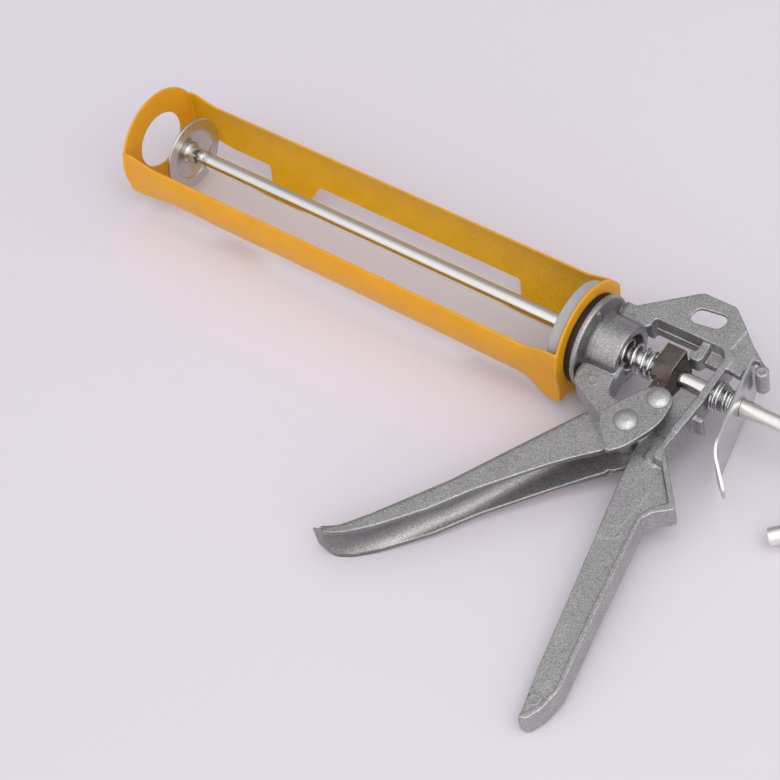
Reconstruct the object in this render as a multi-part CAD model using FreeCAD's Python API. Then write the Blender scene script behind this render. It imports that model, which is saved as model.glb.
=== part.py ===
"""Skeleton caulking gun for 310 ml cartridges.

Frame: the origin is the centre of the nozzle port, on the push rod's axis. +X runs back along the rod,
+Y points to the hanging slot, and the trigger and handle point to -Y. The trigger turns about Z.
Lengths are in millimetres and angles in degrees.
"""
import FreeCAD, Part

import os
from math import atan2, cos, degrees, hypot, pi, radians, sin, tan

Vec = FreeCAD.Vector

# Push rod
rod_r = 4.0
bore_r = rod_r + 0.06
hook_bend_r = 16.0
hook_bend_start = 381.0
hook_turn = 141.0
hook_leg = 27.0
hook_roll = 21.0

# Cartridge cradle, a pressed steel trough that swivels on the body
wall = 1.2
cradle_r = 27.3
cradle_len = 254.0
cradle_turn = -6.8
port_r = 14.4
rail_top = 18.3
rail_relief = 29.0
rail_tab = 46.0
fold_y = 25.9
fold_top = 11.0
fold_bottom = -12.6
fold_len = 7.0
ring_bore_r = 16.3

# Piston at the front of the rod
piston_x = 17.5
piston_r = 18.6
sheet = 1.2
dish_r = 11.5
dish_depth = 3.0

# Body casting
half = 6.5
flange_x = 258.5
flange_r = 22.2
spigot_r = 16.0
neck_r = 12.0
hub_x = 277.2
hub_r = 14.2
pocket_r = 10.4
pocket_x = 265.0
window_left = 278.6
window_top = 19.1
window_bottom = -25.9
wall_x = 316.3
wall_t = 3.5
plate_bottom = 4.7
web_top = 0.0
web_edge = -7.0
arm_bottom = 2.6
saddle_top = 3.5
arm_top = 5.4
slot_r = 4.3
slot_ends = ((295.8, 29.4), (303.0, 30.4))

# Trigger and its two rivets
pivot = (297.0, -34.5)
drive_pin_at = (303.4, -18.1)
pin_r = 3.0
pin_head_r = 5.4
pin_head_h = 2.2
cheek_in = 6.8
cheek_out = 9.3
grip_in = 8.8
grip_out = 11.0

# Drive block and its spring
block_x = 290.2
block_len = 9.6
block_bevel = 1.2
block_half = 6.0
block_top = 10.8
block_shoulder = -0.6
leg_top = -5.0
leg_low = -20.6
leg_half = 2.2
foot_top = -9.6
foot_x = 300.1
jaw_t = 3.6
jaw_half = 5.2
jaw_top = 8.0

# Release plate, tilted so that it grips the rod
plate_pivot = (329.2, 17.6)
plate_tilt = 11.1
plate_half = 13.8
plate_t = 1.2
plate_len = 49.3
plate_bend = 32.5
plate_bend_r = 12.2
plate_hole_r = 4.5
tab_len = 15.9
tab_tip = 3.0
wire_r = 0.75
coil_steps = 16


def cylinder_x(x0, x1, radius):
    return Part.makeCylinder(radius, x1 - x0, Vec(x0, 0, 0), Vec(1, 0, 0))


def cylinder_z(x, y, radius, z0, z1):
    return Part.makeCylinder(radius, z1 - z0, Vec(x, y, z0), Vec(0, 0, 1))


def box(x0, x1, y0, y1, z0, z1):
    return Part.makeBox(x1 - x0, y1 - y0, z1 - z0, Vec(x0, y0, z0))


def outline(points):
    """Closed wire through (x, y, corner radius) points.

    Each corner is rounded by a tangent arc, smaller than asked where its sides are too short for it.
    """
    edges = []
    corners = []
    for i, (x, y, r) in enumerate(points):
        here = Vec(x, y, 0)
        back = Vec(*points[i - 1][:2], 0) - here
        ahead = Vec(*points[(i + 1) % len(points)][:2], 0) - here
        room = 0.49 * min(back.Length, ahead.Length)
        back.normalize()
        ahead.normalize()
        if r <= 0:
            corners.append((here, here, here))
            continue
        opening = back.getAngle(ahead)
        reach = min(r / tan(opening / 2), room)
        r = reach * tan(opening / 2)
        middle = back + ahead
        middle.normalize()
        centre = here + middle * (r / sin(opening / 2))
        corners.append((here + back * reach, centre - middle * r, here + ahead * reach))
    for i, (start, middle, end) in enumerate(corners):
        if (start - end).Length > 1e-6:
            edges.append(Part.Arc(start, middle, end).toShape())
        after = corners[(i + 1) % len(corners)][0]
        if (after - end).Length > 1e-6:
            edges.append(Part.LineSegment(end, after).toShape())
    return Part.Wire(edges)


def prism(points, z0, z1):
    face = Part.Face(outline(points))
    face.translate(Vec(0, 0, z0))
    return face.extrude(Vec(0, 0, z1 - z0))


def turned(profile):
    """Solid of revolution about the rod's axis from (x, radius) points."""
    wire = Part.makePolygon([Vec(x, r, 0) for x, r in profile + profile[:1]])
    return Part.Face(wire).revolve(Vec(0, 0, 0), Vec(1, 0, 0), 360)


def fused(shapes):
    result = shapes[0].multiFuse(shapes[1:])
    return result.removeSplitter()


def sector(x0, x1, from_angle, to_angle, r_in, r_out):
    """Part of a tube wall about the rod's axis; angles are measured from +Y towards +Z."""
    def at(radius, angle):
        return Vec(0, radius * cos(radians(angle)), radius * sin(radians(angle)))
    middle = (from_angle + to_angle) / 2
    edges = [Part.Arc(at(r_out, from_angle), at(r_out, middle), at(r_out, to_angle)).toShape(),
             Part.LineSegment(at(r_out, to_angle), at(r_in, to_angle)).toShape(),
             Part.Arc(at(r_in, to_angle), at(r_in, middle), at(r_in, from_angle)).toShape(),
             Part.LineSegment(at(r_in, from_angle), at(r_out, from_angle)).toShape()]
    solid = Part.Face(Part.Wire(edges)).extrude(Vec(x1 - x0, 0, 0))
    solid.translate(Vec(x0, 0, 0))
    return solid


def cradle_rail(side):
    """One rail: a curved strip with a tab at its lower edge, and a flat fold at either end."""
    r_in = cradle_r - wall
    def strip(x0, x1, low):
        if side > 0:
            return sector(x0, x1, -low, rail_top, r_in, cradle_r)
        return sector(x0, x1, 180 - rail_top, 180 + low, r_in, cradle_r)
    pieces = [strip(0, cradle_len, rail_relief), strip(51, 80, rail_tab), strip(201, cradle_len, rail_tab)]
    y0, y1 = sorted((side * (fold_y - wall), side * fold_y))
    for x0 in (0, cradle_len - fold_len):
        pieces.append(box(x0, x0 + fold_len, y0, y1, fold_bottom, fold_top))
    return pieces


def make_cradle():
    front = cylinder_x(-wall, 0, cradle_r).cut(cylinder_x(-wall - 1, 1, port_r))
    ring = cylinder_x(cradle_len, cradle_len + wall, cradle_r)
    ring = ring.cut(cylinder_x(cradle_len - 1, cradle_len + wall + 1, ring_bore_r))
    shape = fused([front, ring] + cradle_rail(1) + cradle_rail(-1))
    shape.rotate(Vec(0, 0, 0), Vec(1, 0, 0), cradle_turn)
    return shape


def make_retaining_disc():
    disc = turned([(247.4, 0), (247.4, 23.6), (248.2, 24.4), (253.7, 24.4), (253.7, 0)])
    return disc.cut(cylinder_x(246, 255, neck_r + 0.06))


def make_friction_washer():
    x0 = cradle_len + wall + 0.1
    return cylinder_x(x0, flange_x, 21.6).cut(cylinder_x(x0 - 1, flange_x + 1, ring_bore_r))


def casting_head():
    """Flange, hub and the spigot that carries the cradle, all turned about the rod."""
    head = turned([(247.4, 0), (247.4, neck_r), (253.7, neck_r), (253.7, spigot_r), (flange_x, spigot_r),
                   (flange_x, flange_r), (260.6, flange_r), (262.0, 21.4), (264.4, 19.4), (266.0, 15.6),
                   (268.0, 14.6), (hub_x, hub_r), (hub_x, 0)])
    return head


def casting_plates():
    """Everything that is drawn flat in the trigger's plane and given a depth."""
    wall_back = wall_x + wall_t
    upper = prism([(262.5, 8, 0), (262.5, 20.9, 0), (267.5, 21.1, 1.5), (290.3, 41.1, 3), (307.2, 41.1, 4),
                   (317.4, 32.4, 0), (316.1, 20.3, 0), (wall_x, 16, 0), (279, 16, 0), (272, 8, 0)],
                  plate_bottom, half)
    frame = prism([(274, window_top, 0), (274, window_top + 3.4, 0), (314, window_top + 3.4, 5),
                   (wall_back, 17.2, 3), (wall_back, -9, 0), (318.1, -37.6, 0), (320.2, -43.2, 0),
                   (316.4, -43.2, 1.2), (315.1, -41.8, 0), (wall_x, -8, 0), (wall_x, 15.4, 4),
                   (312.6, window_top, 3)], -half, half)
    arm = prism([(318, 10.6, 0), (327.2, 9.6, 0), (326.6, 20.0, 1), (331.0, 20.3, 0), (331.3, 14.6, 2.4),
                 (337.2, 13.2, 2.4), (335.6, 18.6, 3), (324.6, 26.2, 0), (317.0, 33.0, 0), (315.8, 19.6, 0)],
                arm_bottom, arm_top)
    lower = prism([(262.8, -16.3, 0), (262.8, -21.5, 0), (264.3, -26.0, 1), (283.0, -35.2, 3), (289.5, -43.0, 6),
                   (299.5, -43.5, 3), (304.2, -39.4, 4), (307.0, -33, 0), (307.0, window_bottom, 0),
                   (279.6, window_bottom, 4), (279.4, -16.3, 0)], -half, half)
    saddle = prism([(262.8, -8, 0), (262.8, -17, 0), (279.4, -17, 0), (278.6, -8, 0)], -half, saddle_top)
    handle = prism([(304.1, -44, 0), (320.0, -42.4, 0), (336.4, -60.2, 0), (329.4, -65.6, 0), (326.7, -71.0, 3),
                    (334.2, -118, 0), (340.8, -155, 10), (338.6, -166.2, 8), (336.0, -172.2, 3), (331.6, -172.4, 2),
                    (328.5, -163.9, 12), (324.9, -145.4, 0)], -half, web_top)
    return [upper, frame, arm, lower, saddle, handle]


def rear_rib():
    """The rib along the back of the handle, with the thumb spur."""
    outside = [(318.1, -37.2, 0), (337.9, -60.6, 1.3), (330.4, -66.8, 2.5), (327.7, -71.5, 3), (334.8, -115, 0),
               (341.6, -154, 14), (340.0, -165.4, 10), (336.6, -172.8, 3), (331.6, -172.8, 2), (332.4, -171.3, 0),
               (336.2, -168.4, 6), (339.9, -158.4, 10), (332.2, -115, 0), (325.4, -71.0, 3), (328.6, -64.2, 1.5),
               (333.5, -59.4, 0.8), (319.6, -42.6, 0), (316.4, -41.4, 0)]
    return prism(outside, -half, half)


def window_lugs():
    """What stands in the window: the jaw's hook, a ledge behind it, and the web below the rod."""
    hook = prism([(302.6, 20, 0), (302.6, 14.0, 0.6), (300.3, 12.5, 0.8), (301.7, 8.9, 1.2), (306.2, 9.0, 1.5),
                  (307.3, 11.4, 1), (306.6, 20, 0)], -4.0, 4.5)
    ledge = box(305.0, wall_x + 1, 12.2, window_top + 1, -4.0, 0.0)
    web = prism([(307.0, web_edge, 1), (wall_x + 1, web_edge, 0), (wall_x + 1, -44.5, 0), (304.0, -44.5, 0),
                 (304.0, window_bottom - 2, 0), (307.0, window_bottom - 2, 0)], -half, web_top)
    return [hook, ledge, web]


def rear_lugs():
    stop = prism([(wall_x + 1.5, -15.2, 0), (324.4, -15.2, 1), (324.4, -17.9, 1), (wall_x + 1.5, -17.9, 0)],
                 -half, 4.6)
    boss = cylinder_z(334.0, 16.3, 3.1, -half, half + 0.6)
    return [stop, boss]


def hanging_slot():
    """Oblong hole that takes a hook or a nail."""
    r = slot_r
    (x0, y0), (x1, y1) = slot_ends
    angle = degrees(atan2(y1 - y0, x1 - x0))
    middle = box(0, hypot(x1 - x0, y1 - y0), -r, r, -half - 1, half + 1)
    middle.rotate(Vec(0, 0, 0), Vec(0, 0, 1), angle)
    middle.translate(Vec(x0, y0, 0))
    ends = [cylinder_z(x, y, r, -half - 1, half + 1) for x, y in slot_ends]
    return fused([middle] + ends)


def make_body():
    casting = fused([casting_head()] + casting_plates() + [rear_rib()] + window_lugs() + rear_lugs())
    window = prism([(window_left, window_top, 2), (312.6, window_top, 3), (wall_x, 15.4, 4), (wall_x, -8, 0),
                    (315.6, window_bottom, 0), (281.0, window_bottom, 5), (279.4, -16.3, 0),
                    (window_left, -8, 0)], -half - 9, half + 9)
    keep = fused(window_lugs())
    casting = casting.cut(window.cut(keep))
    casting = casting.cut(cylinder_x(pocket_x, hub_x + 1, pocket_r))
    casting = casting.cut(cylinder_x(240, 330, bore_r))
    casting = casting.cut(hanging_slot())
    casting = casting.cut(cylinder_z(pivot[0], pivot[1], pin_r + 0.06, -20, 20))
    return casting


def narrowed(shape, x0, z0, x1, z1):
    """Both sides of a shape cut down from half width z0 at x0 to z1 at x1 and beyond."""
    for side in (1, -1):
        ring = [Vec(x, -200, side * z) for x, z in ((x0, z0), (x1, z1), (330, z1), (330, z0 + 1), (x0, z0 + 1))]
        wedge = Part.Face(Part.makePolygon(ring + ring[:1])).extrude(Vec(0, 260, 0))
        shape = shape.cut(wedge)
    return shape


def make_trigger():
    """Cast channel, open towards the handle, whose two cheeks straddle the body."""
    whole = [(284.6, -35.4, 3), (294.0, -18.6, 7), (300.5, -11.4, 8), (310.2, -15.0, 7), (311.2, -30.0, 20),
             (304.0, -46.4, 20), (281.6, -70.0, 0), (260.1, -96.2, 0), (232.8, -132.6, 30), (215.4, -147.2, 5),
             (207.8, -146.2, 3), (226.6, -128.0, 30), (247.5, -96.6, 0), (277.4, -42.6, 0)]
    hollow = [(286.2, -30.0, 0), (294.0, -8, 0), (320.0, -5, 0), (320.0, -40.0, 0), (240.0, -141.0, 0),
              (214.0, -154.0, 0), (209.4, -148.8, 0), (229.0, -129.4, 26), (249.8, -97.2, 0),
              (282.6, -38.0, 0)]
    shape = narrowed(prism(whole, -grip_out, grip_out), 258, grip_out, 288, cheek_out)
    shape = shape.cut(narrowed(prism(hollow, -grip_in, grip_in), 256, grip_in, 285, cheek_in))
    for x, y in (pivot, drive_pin_at):
        shape = shape.cut(cylinder_z(x, y, pin_r, -20, 20))
    return shape


def make_rivet(x, y):
    """Rivet across both cheeks with a low domed head at each end."""
    shank = cylinder_z(x, y, pin_r, -cheek_out, cheek_out)
    dome_r = (pin_head_r ** 2 + pin_head_h ** 2) / (2 * pin_head_h)
    heads = []
    for side in (1, -1):
        ball = Part.makeSphere(dome_r, Vec(x, y, side * (cheek_out + pin_head_h - dome_r)))
        z0, z1 = sorted((side * cheek_out, side * (cheek_out + pin_head_h + 1)))
        heads.append(ball.common(box(x - 9, x + 9, y - 9, y + 9, z0, z1)))
    return fused([shank] + heads)


def make_drive_block():
    """Hardened jaw round the rod, with a leg that the drive rivet pushes."""
    x1 = block_x + block_len
    head = shouldered(block_x, x1, block_top, block_half, block_shoulder, leg_top)
    leg = box(block_x + 3.2, x1, leg_low, leg_top, -leg_half, leg_half)
    foot = box(x1 - 1, foot_x, leg_low, foot_top, -leg_half, leg_half)
    shape = fused([head, leg, foot]).cut(cylinder_x(block_x - 1, x1 + 1, bore_r))
    return narrowed(shape, x1 - block_bevel, block_half, x1, block_half - block_bevel)


def shouldered(x0, x1, top, half_width, shoulder, low):
    """Plate across the rod whose lower corners slope in to the leg's width."""
    side = [(top, half_width), (shoulder, half_width), (low, leg_half)]
    ring = [Vec(x0, y, z) for y, z in side] + [Vec(x0, y, -z) for y, z in reversed(side)]
    return Part.Face(Part.makePolygon(ring + ring[:1])).extrude(Vec(x1 - x0, 0, 0))


def make_jaw_plate():
    x0 = block_x + block_len
    plate = shouldered(x0, x0 + jaw_t, jaw_top, jaw_half, block_shoulder, foot_top + 0.4)
    return plate.cut(cylinder_x(x0 - 1, x0 + jaw_t + 1, bore_r))


def make_spring(x0, x1, start_r, end_r, turns):
    """Coil about the rod in short straight runs, from radius start_r at x0 to end_r at x1."""
    steps = int(turns * coil_steps)
    points = []
    for k in range(steps + 1):
        part = k / steps
        angle = 2 * pi * turns * part
        r = start_r + (end_r - start_r) * part
        points.append(Vec(x0 + (x1 - x0) * part, r * cos(angle), r * sin(angle)))
    section = Part.Wire(Part.makeCircle(wire_r, points[0], points[1] - points[0]))
    return Part.makePolygon(points).makePipeShell([section], True, False, 1)


def make_push_rod():
    """Straight rod whose rear end is bent back on itself as a pull hook."""
    roll = radians(hook_roll)
    down = Vec(0, -cos(roll), -sin(roll))
    start = Vec(hook_bend_start, 0, 0)
    centre = start + down * hook_bend_r

    def on_bend(angle):
        a = radians(angle)
        return centre + Vec(sin(a), 0, 0) * hook_bend_r - down * (cos(a) * hook_bend_r)
    end = on_bend(hook_turn)
    t = radians(hook_turn)
    tip = end + (Vec(cos(t), 0, 0) + down * sin(t)) * hook_leg
    front = Vec(piston_x - 5.6, 0, 0)
    path = Part.Wire([Part.LineSegment(front, start).toShape(),
                      Part.Arc(start, on_bend(hook_turn / 2), end).toShape(),
                      Part.LineSegment(end, tip).toShape()])
    ring = Part.Wire(Part.makeCircle(rod_r, front, Vec(1, 0, 0)))
    rod = path.makePipeShell([ring], True, False)
    neck = cylinder_x(front.x - 1, piston_x + sheet, rod_r + 1).cut(cylinder_x(0, 40, 3.0))
    return rod.cut(neck)


def make_piston_disc():
    """Dished steel disc: a flat rim, a cone down to the hub, and a hole for the rod's neck."""
    x = piston_x
    profile = [(x, 3.06), (x, 7.5), (x + dish_depth, dish_r), (x + dish_depth, piston_r),
               (x + dish_depth + sheet, piston_r), (x + dish_depth + sheet, dish_r - 0.5),
               (x + sheet, 7.0), (x + sheet, 3.06)]
    return turned(profile)


def make_piston_collar():
    x = piston_x + sheet
    return turned([(x, 4.06), (x, 6.4), (x + 1.6, 6.4), (x + 2.6, 5.4), (x + 2.6, 4.06)])


def make_piston_nut():
    x1 = piston_x
    x0 = x1 - 4.0
    corners = [(6.5 / cos(pi / 6) * cos(radians(60 * k)), 6.5 / cos(pi / 6) * sin(radians(60 * k)))
               for k in range(7)]
    hexagon = Part.Face(Part.makePolygon([Vec(x0, y, z) for y, z in corners])).extrude(Vec(x1 - x0, 0, 0))
    rounding = turned([(x0, 0), (x0, 6.5), (x0 + 1, 7.6), (x1, 7.6), (x1, 0)])
    return hexagon.common(rounding).cut(cylinder_x(x0 - 1, x1 + 1, 3.05))


def make_release_plate():
    """Strip with a hole for the rod; its lower end is rolled back and narrows to a thumb tab."""
    t = plate_t / 2
    bend = radians(plate_bend)
    skew = t * tan(bend / 2)
    reach = tab_len * sin(bend)
    low = plate_len + tab_len * cos(bend)
    side = [(-t, 0, 0), (-t, -plate_len - skew, plate_bend_r + t),
            (reach - t * cos(bend), -low - t * sin(bend), 0), (reach + t * cos(bend), -low + t * sin(bend), 0),
            (t, -plate_len + skew, plate_bend_r - t), (t, 0, 0)]
    strip = prism(side, -plate_half, plate_half)
    bend_start = plate_len - plate_bend_r * tan(bend / 2)
    face = prism([(1, -plate_half, 0), (1, plate_half, 0), (-bend_start, plate_half, 6), (-low, tab_tip, 2.5),
                  (-low, -tab_tip, 2.5), (-bend_start, -plate_half, 6)], -plate_half, reach + 5)
    face.rotate(Vec(0, 0, 0), Vec(0, 0, 1), 90)
    face.rotate(Vec(0, 0, 0), Vec(0, 1, 0), 90)
    top = Part.makeCylinder(t, 2 * plate_half, Vec(0, 0, -plate_half), Vec(0, 0, 1))
    hole = Part.makeCylinder(plate_hole_r, 6, Vec(-3, 0, 0), Vec(1, 0, 0))
    hole.translate(Vec(0, -plate_pivot[1] / cos(radians(plate_tilt)), 0))
    shape = fused([strip.common(face), top]).cut(hole)
    shape.rotate(Vec(0, 0, 0), Vec(0, 0, 1), plate_tilt)
    shape.translate(Vec(plate_pivot[0], plate_pivot[1], 0))
    return shape


def main():
    os.makedirs("parts", exist_ok=True)
    nodes = {
        "cradle": make_cradle(),
        "retaining_disc": make_retaining_disc(),
        "friction_washer": make_friction_washer(),
        "body": make_body(),
        "trigger": make_trigger(),
        "pivot_rivet": make_rivet(*pivot),
        "drive_rivet": make_rivet(*drive_pin_at),
        "drive_block": make_drive_block(),
        "jaw_plate": make_jaw_plate(),
        "drive_spring": make_spring(268.0, block_x - wire_r - 0.3, 7.4, 6.0, 5),
        "push_rod": make_push_rod(),
        "piston_disc": make_piston_disc(),
        "piston_collar": make_piston_collar(),
        "piston_nut": make_piston_nut(),
        "release_plate": make_release_plate(),
        "release_spring": make_spring(wall_x + wall_t + wire_r + 0.2, 329.4, 6.8, 5.6, 4),
    }
    for name, shape in nodes.items():
        size = shape.BoundBox
        print("%-16s solids %d valid %s volume %9.1f  x %.1f..%.1f y %.1f..%.1f z %.1f..%.1f" % (
            name, len(shape.Solids), shape.isValid(), shape.Volume, size.XMin, size.XMax,
            size.YMin, size.YMax, size.ZMin, size.ZMax))
        shape.exportStep("parts/%s.step" % name)


main()
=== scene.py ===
from math import cos, pi, radians, sin, tan

import bpy
from mathutils import Matrix, Vector


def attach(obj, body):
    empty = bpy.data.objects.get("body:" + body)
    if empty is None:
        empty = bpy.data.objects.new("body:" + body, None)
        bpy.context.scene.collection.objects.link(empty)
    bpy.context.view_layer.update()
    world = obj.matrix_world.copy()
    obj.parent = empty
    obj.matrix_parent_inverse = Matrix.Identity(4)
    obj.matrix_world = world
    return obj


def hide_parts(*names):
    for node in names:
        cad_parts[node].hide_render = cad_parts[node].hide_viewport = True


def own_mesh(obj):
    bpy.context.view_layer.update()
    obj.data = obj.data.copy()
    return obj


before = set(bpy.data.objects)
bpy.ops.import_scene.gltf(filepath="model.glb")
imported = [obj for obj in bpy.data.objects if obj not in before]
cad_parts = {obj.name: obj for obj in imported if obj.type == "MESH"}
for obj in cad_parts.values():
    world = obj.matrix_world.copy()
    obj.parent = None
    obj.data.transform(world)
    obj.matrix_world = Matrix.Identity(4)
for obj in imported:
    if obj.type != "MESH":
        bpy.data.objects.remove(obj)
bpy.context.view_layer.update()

mm = 0.001  # pieces are modelled in millimetres, and settle() brings them to metres
nearAxis = 0.001  # points closer than this to the axis, or to each other, are one
cutterReach = 20  # how far a cutter for a hole or window runs to each side of the trigger's plane


# selecting, joining and finishing pieces

def clearSelection():
    if bpy.context.object is not None and bpy.context.object.mode != "OBJECT":
        bpy.ops.object.mode_set(mode="OBJECT")
    bpy.ops.object.select_all(action="DESELECT")


def pick(piece):
    clearSelection()
    piece.select_set(True)
    bpy.context.view_layer.objects.active = piece


def placeForGood():
    bpy.ops.object.transform_apply(location=True, rotation=True, scale=True)


def finishWith(piece, kind, **values):
    pick(piece)
    bpy.ops.object.modifier_add(type=kind)
    modifier = piece.modifiers[-1]
    for key, value in values.items():
        setattr(modifier, key, value)
    bpy.ops.object.modifier_apply(modifier=modifier.name)


def joined(pieces):
    clearSelection()
    for piece in pieces:
        piece.select_set(True)
    bpy.context.view_layer.objects.active = pieces[0]
    bpy.ops.object.join()
    return pieces[0]


def cutAway(piece, cutters, keep=False):
    for cutter in cutters:
        finishWith(piece, "BOOLEAN", operation="DIFFERENCE", object=cutter, solver="EXACT")
        if not keep:
            bpy.data.objects.remove(cutter)
    return piece


def facesOut():
    # closes the work in edit mode on a new shape
    bpy.ops.mesh.select_all(action="SELECT")
    bpy.ops.mesh.normals_make_consistent(inside=False)
    bpy.ops.object.mode_set(mode="OBJECT")


def slicedAt(piece, points, normal):
    # rings of new edges, where the piece is to be bent or narrowed
    pick(piece)
    bpy.ops.object.mode_set(mode="EDIT")
    for point in points:
        bpy.ops.mesh.select_all(action="SELECT")
        bpy.ops.mesh.bisect(plane_co=point, plane_no=normal)
    bpy.ops.object.mode_set(mode="OBJECT")
    return piece


def triangleCount(piece):
    return sum(len(face.vertices) - 2 for face in piece.data.polygons)


def castTogether(piece, voxel, smoothing, ripple=0.03, mostTriangles=185000):
    # one skin over the joined shapes, with the soft edges and the faint ripple of a casting
    finishWith(piece, "REMESH", mode="VOXEL", voxel_size=voxel, adaptivity=0)
    finishWith(piece, "SMOOTH", factor=0.5, iterations=smoothing)
    if ripple:
        clouds = bpy.data.textures.new("ripple", "CLOUDS")
        clouds.noise_scale = 1.6
        finishWith(piece, "DISPLACE", texture=clouds, texture_coords="LOCAL", strength=ripple, mid_level=0.5)
    count = triangleCount(piece)
    print("skin of", count, "triangles")
    if count > mostTriangles:
        finishWith(piece, "DECIMATE", ratio=mostTriangles / count)
    return piece


def settle(piece, name, body, material, nodes, angle=35):
    piece.name = name
    pick(piece)
    piece.scale = (mm, mm, mm)
    placeForGood()
    bpy.ops.object.shade_smooth_by_angle(angle=radians(angle))
    piece.data.materials.clear()
    piece.data.materials.append(material)
    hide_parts(*nodes)
    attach(piece, body)
    print("made", name, triangleCount(piece), "triangles")
    return piece


# drawing shapes, which the pieces below are put together from

def rounded(corners, steps=6):
    # (x, y, rounding) corners as points, each rounding an arc of the given number of steps
    points = []
    for i, (x, y, r) in enumerate(corners):
        here = Vector((x, y))
        back = Vector(corners[i - 1][:2]) - here
        ahead = Vector(corners[(i + 1) % len(corners)][:2]) - here
        room = 0.49 * min(back.length, ahead.length)
        if r <= 0:
            points.append((x, y))
            continue
        half = back.angle(ahead) / 2
        reach = min(r / tan(half), room)
        back.normalize()
        ahead.normalize()
        centre = here + (back + ahead).normalized() * (reach / cos(half))
        start = here + back * reach - centre
        end = here + ahead * reach - centre
        sweep = pi - 2 * half
        for k in range(steps + 1):
            part = k / steps
            spoke = (start * sin((1 - part) * sweep) + end * sin(part * sweep)) / sin(sweep)
            points.append(tuple(centre + spoke))
    return points


def drawPath(name, points):
    # a chain of edges through the points, left in edit mode for the next step
    clearSelection()
    bpy.ops.mesh.primitive_plane_add(size=1)
    piece = bpy.context.object
    piece.name = name
    bpy.ops.object.mode_set(mode="EDIT")
    bpy.ops.mesh.select_all(action="SELECT")
    bpy.ops.mesh.merge(type="CENTER")
    bpy.ops.transform.translate(value=points[0])
    for before, after in zip(points, points[1:]):
        step = [b - a for a, b in zip(before, after)]
        bpy.ops.mesh.extrude_vertices_move(TRANSFORM_OT_translate={"value": step})
    return piece


def slab(name, corners, low, high, steps=6):
    # closed outline in the trigger's plane, given a depth
    piece = drawPath(name, [(x, y, low) for x, y in rounded(corners, steps)])
    bpy.ops.mesh.select_all(action="SELECT")
    bpy.ops.mesh.edge_face_add()
    bpy.ops.mesh.extrude_region_move(TRANSFORM_OT_translate={"value": (0, 0, high - low)})
    facesOut()
    return piece


def slabAcross(name, corners, low, high, axes, steps=6):
    # the same, then stood up: axes gives where the drawing's x, y and depth go
    piece = slab(name, corners, low, high, steps)
    columns = [Vector([1 if axis == letter else 0 for letter in "xyz"]) for axis in axes]
    turn = Matrix(columns).transposed().to_4x4()
    pick(piece)
    flipped = turn.determinant() < 0
    piece.matrix_world = turn
    placeForGood()
    if flipped:
        bpy.ops.object.mode_set(mode="EDIT")
        facesOut()
    return piece


def turned(name, corners, steps=96, arcSteps=5):
    # (x, radius, rounding) corners spun about the rod's axis
    profile = rounded(corners, arcSteps)
    closed = min(r for x, r in profile) > nearAxis
    path = profile + profile[:1] if closed else profile
    piece = drawPath(name, [(x, r, 0) for x, r in path])
    bpy.ops.mesh.select_all(action="SELECT")
    bpy.ops.mesh.spin(steps=steps, angle=2 * pi, center=(0, 0, 0), axis=(1, 0, 0))
    bpy.ops.mesh.select_all(action="SELECT")
    bpy.ops.mesh.remove_doubles(threshold=nearAxis)
    facesOut()
    return piece


def roundBar(name, start, end, radius, sides=64):
    clearSelection()
    along = Vector(end) - Vector(start)
    middle = (Vector(start) + Vector(end)) / 2
    bpy.ops.mesh.primitive_cylinder_add(vertices=sides, radius=radius, depth=along.length, location=middle,
                                        rotation=along.to_track_quat("Z", "Y").to_euler())
    piece = bpy.context.object
    piece.name = name
    placeForGood()
    return piece


def holeAcross(place, radius, sides=48):
    # cutter for a pin's hole, square to the trigger's plane
    x, y = place
    return roundBar("pin", (x, y, -cutterReach), (x, y, cutterReach), radius, sides)


def block(name, low, high):
    clearSelection()
    bpy.ops.mesh.primitive_cube_add(size=1, location=[(a + b) / 2 for a, b in zip(low, high)])
    piece = bpy.context.object
    piece.name = name
    piece.scale = [b - a for a, b in zip(low, high)]
    placeForGood()
    return piece


def bevelWhere(piece, width, segments, test):
    # rounds the edges whose two ends pass the test
    pick(piece)
    bpy.ops.object.mode_set(mode="EDIT")
    bpy.ops.mesh.select_mode(type="EDGE")
    bpy.ops.mesh.select_all(action="DESELECT")
    bpy.ops.object.mode_set(mode="OBJECT")
    places = [vertex.co.copy() for vertex in piece.data.vertices]
    for edge in piece.data.edges:
        edge.select = test(places[edge.vertices[0]], places[edge.vertices[1]])
    bpy.ops.object.mode_set(mode="EDIT")
    bpy.ops.mesh.bevel(offset=width, segments=segments, affect="EDGES")
    bpy.ops.mesh.select_mode(type="VERT")
    bpy.ops.object.mode_set(mode="OBJECT")
    return piece


def coil(name, points, wire):
    # round wire along the points, with closed ends
    piece = drawPath(name, points)
    bpy.ops.object.mode_set(mode="OBJECT")
    pick(piece)
    bpy.ops.object.convert(target="CURVE")
    piece.data.bevel_depth = wire
    piece.data.bevel_resolution = 4
    piece.data.use_fill_caps = True
    bpy.ops.object.convert(target="MESH")
    return bpy.context.object


# materials, from node groups that several of them share

def feed(tree, socket, value):
    # a link where the value is another node's output, else the socket's own value
    if isinstance(value, bpy.types.NodeSocket):
        tree.links.new(value, socket)
    else:
        socket.default_value = value


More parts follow.
